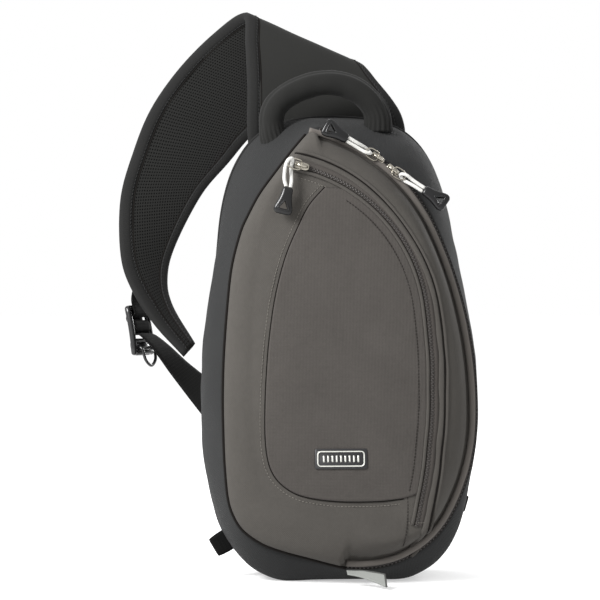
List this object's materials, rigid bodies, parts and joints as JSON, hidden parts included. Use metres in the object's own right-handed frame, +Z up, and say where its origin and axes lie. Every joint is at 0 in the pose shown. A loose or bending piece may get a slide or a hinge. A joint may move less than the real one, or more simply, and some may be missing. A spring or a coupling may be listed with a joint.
{
  "type": "sling camera bag",
  "caption": "One-shoulder sling camera bag with a zipped opening front flap, outer zipped pocket, grab handle, padded shoulder strap and webbing buckle.",
  "frame": {"origin": "centre of the flat base panel, on the plane the bag stands on", "axes": "+Z up, -Y out of the front flap, +X to the right seen from the front"},
  "size_m": [0.3094, 0.2403, 0.5026],
  "materials": {
    "black_nylon": "matte woven",
    "taupe_nylon": "matte twill",
    "taupe_pocket": "matte twill",
    "spacer_mesh": "open spacer mesh",
    "grey_lining": "soft brushed",
    "zip_coil": "satin",
    "welt_binding": "matte woven",
    "badge_black": "satin",
    "nickel": "brushed",
    "white_cord": "braided",
    "toggle_rubber": "satin moulded",
    "strap_cloth": "matte stretch cloth",
    "black_webbing": "woven webbing",
    "black_plastic": "gloss",
    "silver_ribbon": "satin ribbon"
  },
  "bodies": {
    "bag": {"gusset_left": "black_nylon", "gusset_right": "black_nylon", "top_yoke": "black_nylon", "base_panel": "black_nylon", "back_panel": "black_nylon", "front_panel_fixed": "taupe_nylon", "pocket_face_fixed": "taupe_pocket", "back_pad_left": "spacer_mesh", "back_pad_right": "spacer_mesh", "lumbar_pad": "spacer_mesh", "frame_sheet": "grey_lining", "divider_upper": "grey_lining", "divider_lower": "grey_lining", "divider_upright": "grey_lining", "main_zip_tape": "zip_coil", "main_zip_coil": "zip_coil", "pocket_zip_tape_fixed": "zip_coil", "pocket_zip_coil_fixed": "zip_coil", "welt_fixed_top": "welt_binding", "welt_fixed_base": "welt_binding", "pocket_welt_fixed": "welt_binding", "badge_patch": "badge_black", "badge_frame": "nickel", "shoulder_strap": "strap_cloth", "strap_spacer_mesh": "spacer_mesh", "handle_anchor_left": "black_webbing", "handle_anchor_right": "black_webbing", "lower_webbing": "black_webbing", "strap_end_webbing": "black_webbing", "side_loop_left": "black_webbing", "side_loop_right": "black_webbing", "buckle_frame": "black_plastic", "hem_tag": "silver_ribbon"},
    "flap": {"front_flap": "taupe_nylon", "pocket_face_flap": "taupe_pocket", "pocket_zip_tape_flap": "zip_coil", "pocket_zip_coil_flap": "zip_coil", "welt_flap": "welt_binding", "pocket_welt_flap": "welt_binding"},
    "main_slider_a": {"main_a_slider": "nickel"},
    "main_slider_b": {"main_b_slider": "nickel"},
    "pocket_slider": {"pocket_slider": "nickel"},
    "main_pull_a": {"main_a_bail": "nickel", "main_a_cord": "white_cord", "main_a_toggle": "toggle_rubber"},
    "main_pull_b": {"main_b_bail": "nickel", "main_b_cord": "white_cord", "main_b_toggle": "toggle_rubber"},
    "pocket_pull": {"pocket_bail": "nickel", "pocket_cord": "white_cord", "pocket_toggle": "toggle_rubber"},
    "handle": {"handle_pad": "strap_cloth"},
    "lift_ring": {"buckle_lift_ring": "black_plastic"}
  },
  "joints": [
    {"name": "flap_open", "type": "hinge", "parent": "bag", "child": "flap", "pos_m": [0.018, -0.06929, 0.20434], "axis": [0.053, -0.0697, -0.9962], "range_deg": [0, 100]},
    {"name": "main_zip_a_travel", "type": "hinge", "parent": "bag", "child": "main_slider_a", "pos_m": [-0.05935, -0.03444, 0.24187], "axis": [0, -0.9976, 0.0698], "range_deg": [0, 17]},
    {"name": "main_zip_b_travel", "type": "hinge", "parent": "bag", "child": "main_slider_b", "pos_m": [-0.05935, -0.03444, 0.24187], "axis": [0, -0.9976, 0.0698], "range_deg": [-21, 0]},
    {"name": "pocket_zip_travel", "type": "hinge", "parent": "bag", "child": "pocket_slider", "pos_m": [-0.07241, -0.05392, 0.21935], "axis": [-0.0975, -0.9928, 0.0694], "range_deg": [-46, 0]},
    {"name": "main_pull_a_lift", "type": "hinge", "parent": "main_slider_a", "child": "main_pull_a", "pos_m": [0.02829, -0.02977, 0.36246], "axis": [0.4867, 0.0609, 0.8714], "range_deg": [0, 95]},
    {"name": "main_pull_b_lift", "type": "hinge", "parent": "main_slider_b", "child": "main_pull_b", "pos_m": [0.04138, -0.03051, 0.35179], "axis": [-0.5661, -0.0575, -0.8223], "range_deg": [0, 60]},
    {"name": "pocket_pull_lift", "type": "hinge", "parent": "pocket_slider", "child": "pocket_pull", "pos_m": [-0.03961, -0.05151, 0.35388], "axis": [0.2374, 0.0445, 0.9704], "range_deg": [0, 95]},
    {"name": "handle_tilt", "type": "hinge", "parent": "bag", "child": "handle", "pos_m": [-0.0153, 0.02, 0.397], "axis": [0.9961, 0, 0.088], "range_deg": [-15, 60]},
    {"name": "buckle_ring_lift", "type": "hinge", "parent": "bag", "child": "lift_ring", "pos_m": [-0.16858, 0.12428, 0.1973], "axis": [-0.5798, -0.8147, 0], "range_deg": [-16, 26]}
  ]
}
